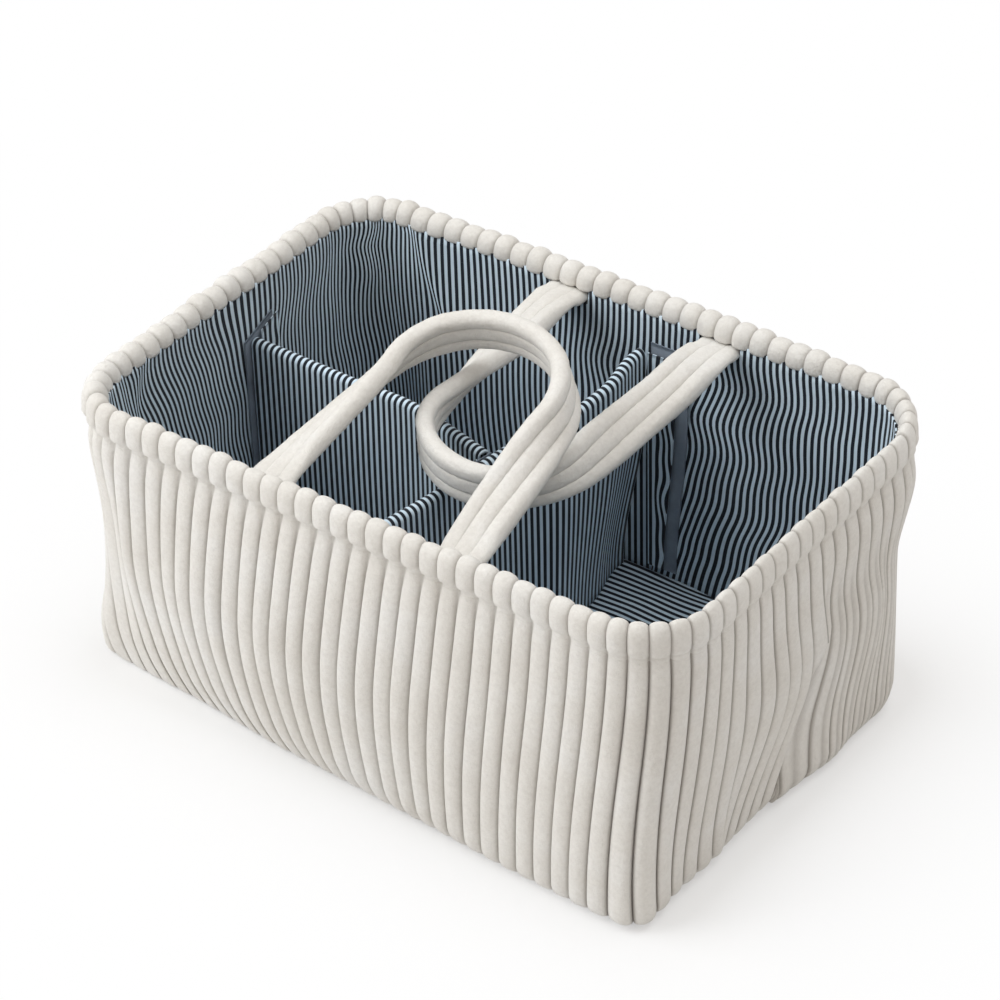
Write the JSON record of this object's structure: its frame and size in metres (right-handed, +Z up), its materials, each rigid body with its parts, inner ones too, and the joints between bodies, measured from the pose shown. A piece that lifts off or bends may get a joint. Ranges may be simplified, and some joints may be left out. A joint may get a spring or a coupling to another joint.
{
  "type": "fabric storage basket",
  "caption": "Padded rectangular plush basket with a rolled hem, striped lining, removable T-shaped divider with hook-and-loop flaps, and two strap handles.",
  "frame": {"origin": "middle of the base, on the surface that the basket stands on", "axes": "+X along the length, +Y from the front long wall to the back one, +Z up"},
  "size_m": [0.384, 0.251, 0.2142],
  "materials": {
    "plush": "ivory ribbed plush, soft and matt",
    "lining": "woven cotton with narrow navy and pale grey-blue stripes",
    "tape": "grey-blue loop tape, matt",
    "hook": "grey-blue hook tape",
    "foam": "white needled felt padding",
    "board": "plain stiff board",
    "webbing": "plain ivory webbing"
  },
  "bodies": {
    "basket": {"outer_cover": "plush", "rim_hem": "plush", "base_cover": "plush", "lining_walls": "lining", "lining_base": "lining", "cross_divider_cover": "lining", "long_divider_cover": "lining", "back_wall_tape": "tape", "front_wall_tape": "tape", "left_wall_tape": "tape", "cross_divider_tape": "tape", "front_wall_pad": "foam", "back_wall_pad": "foam", "left_wall_pad": "foam", "right_wall_pad": "foam", "base_board": "board", "cross_divider_board": "board", "long_divider_board": "board", "front_handle_left_end": "webbing", "front_handle_right_end": "webbing", "back_handle_left_end": "webbing", "back_handle_right_end": "webbing"},
    "front_handle": {"front_handle_cover": "plush", "front_handle_core": "webbing"},
    "back_handle": {"back_handle_cover": "plush", "back_handle_core": "webbing"},
    "cross_back_flap": {"cross_back_flap": "lining", "cross_back_hook": "hook"},
    "cross_front_flap": {"cross_front_flap": "lining", "cross_front_hook": "hook"},
    "long_left_flap": {"long_left_flap": "lining", "long_left_hook": "hook"},
    "long_right_flap": {"long_right_flap": "lining", "long_right_hook": "hook"}
  },
  "joints": [
    {"name": "front_handle_swing", "type": "hinge", "parent": "basket", "child": "front_handle", "pos_m": [-0.001, -0.1039, 0.167], "axis": [1, 0, 0], "range_deg": [0, 70]},
    {"name": "back_handle_swing", "type": "hinge", "parent": "basket", "child": "back_handle", "pos_m": [0.011, 0.1039, 0.167], "axis": [-1, 0, 0], "range_deg": [0, 45.5]},
    {"name": "cross_back_flap_hinge", "type": "hinge", "parent": "basket", "child": "cross_back_flap", "pos_m": [0.019, 0.1084, 0.08], "axis": [0, 0, -1], "range_deg": [0, 88]},
    {"name": "cross_front_flap_hinge", "type": "hinge", "parent": "basket", "child": "cross_front_flap", "pos_m": [-0.005, -0.1084, 0.08], "axis": [0, 0, 1], "range_deg": [0, 80]},
    {"name": "long_left_flap_hinge", "type": "hinge", "parent": "basket", "child": "long_left_flap", "pos_m": [-0.1749, 0.02, 0.08], "axis": [0, 0, -1], "range_deg": [0, 85]},
    {"name": "long_right_flap_hinge", "type": "hinge", "parent": "basket", "child": "long_right_flap", "pos_m": [-0.00549, -0.01043, 0.08], "axis": [0, 0, -1], "range_deg": [0, 88]}
  ],
  "couplings": [
    {"joint": "back_handle_swing", "follows": "front_handle_swing", "ratio": 0.65}
  ]
}
